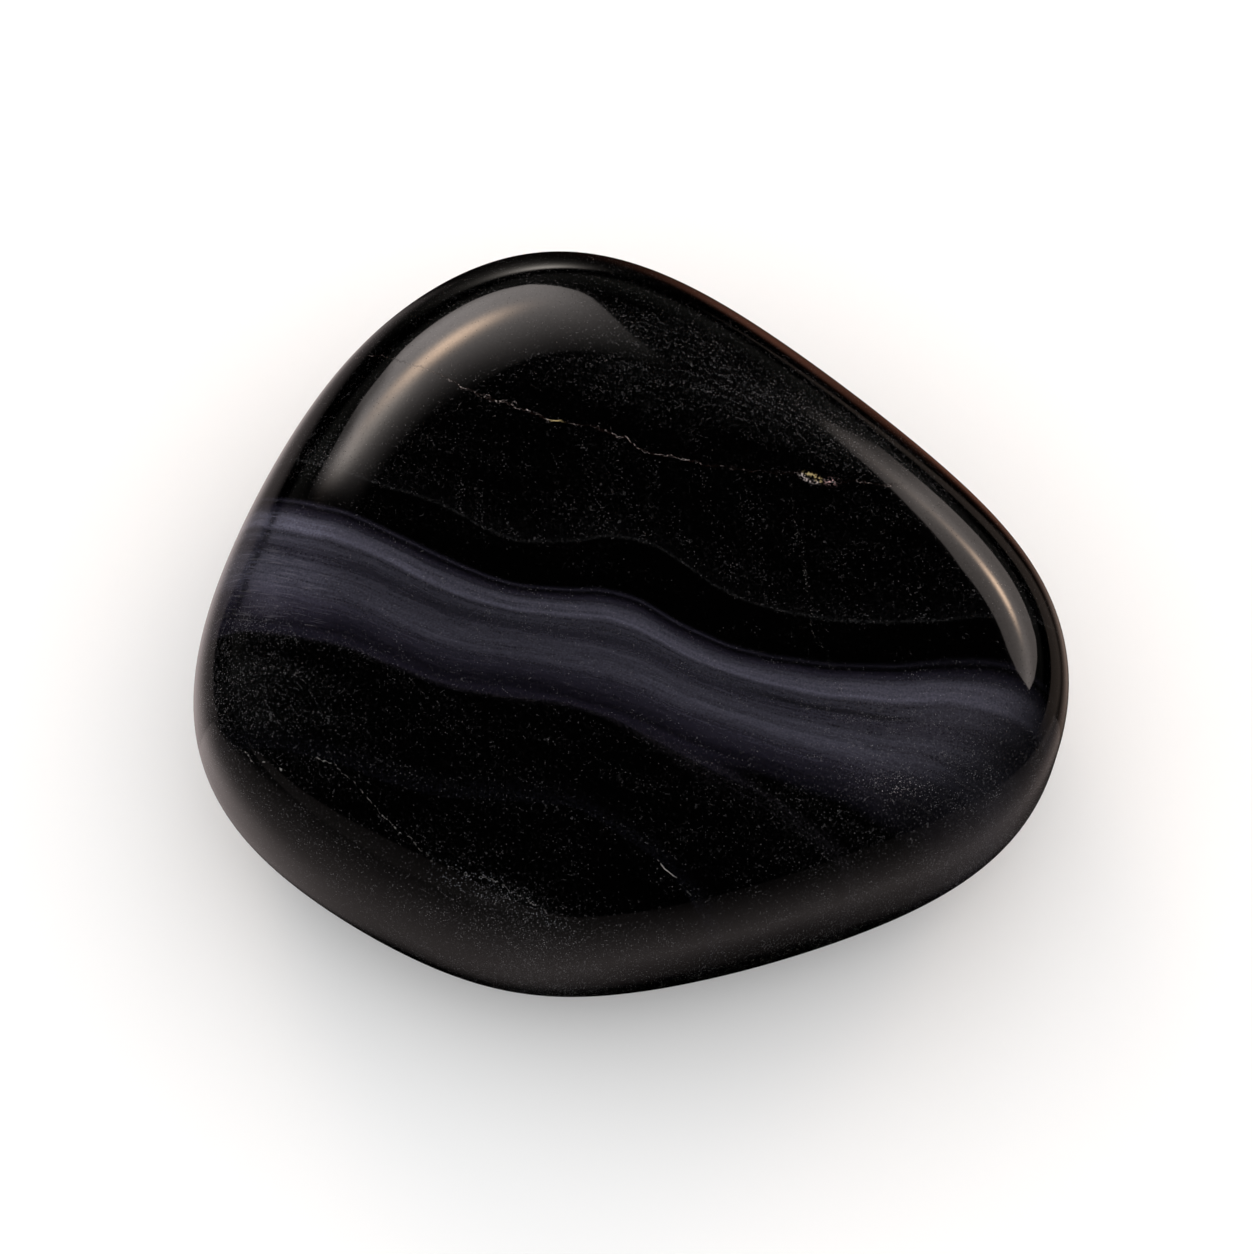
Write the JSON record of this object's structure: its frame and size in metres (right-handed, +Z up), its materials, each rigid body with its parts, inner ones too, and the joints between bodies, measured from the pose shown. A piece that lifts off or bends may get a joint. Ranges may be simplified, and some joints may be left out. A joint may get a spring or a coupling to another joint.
{
  "type": "black onyx tumbled stone",
  "caption": "Polished black onyx pebble with a wavy blue-grey band: a flattish rounded stone that lies on its worn flat.",
  "frame": {"origin": "on the surface that the stone lies on, under the middle of its box", "axes": "+X along the stone's longest side, +Y towards its blunt corner, +Z up through its broad top"},
  "size_m": [0.0318, 0.0296, 0.0135],
  "materials": {
    "stone": "polished"
  },
  "bodies": {
    "root": {"stone": "stone"}
  },
  "joints": []
}
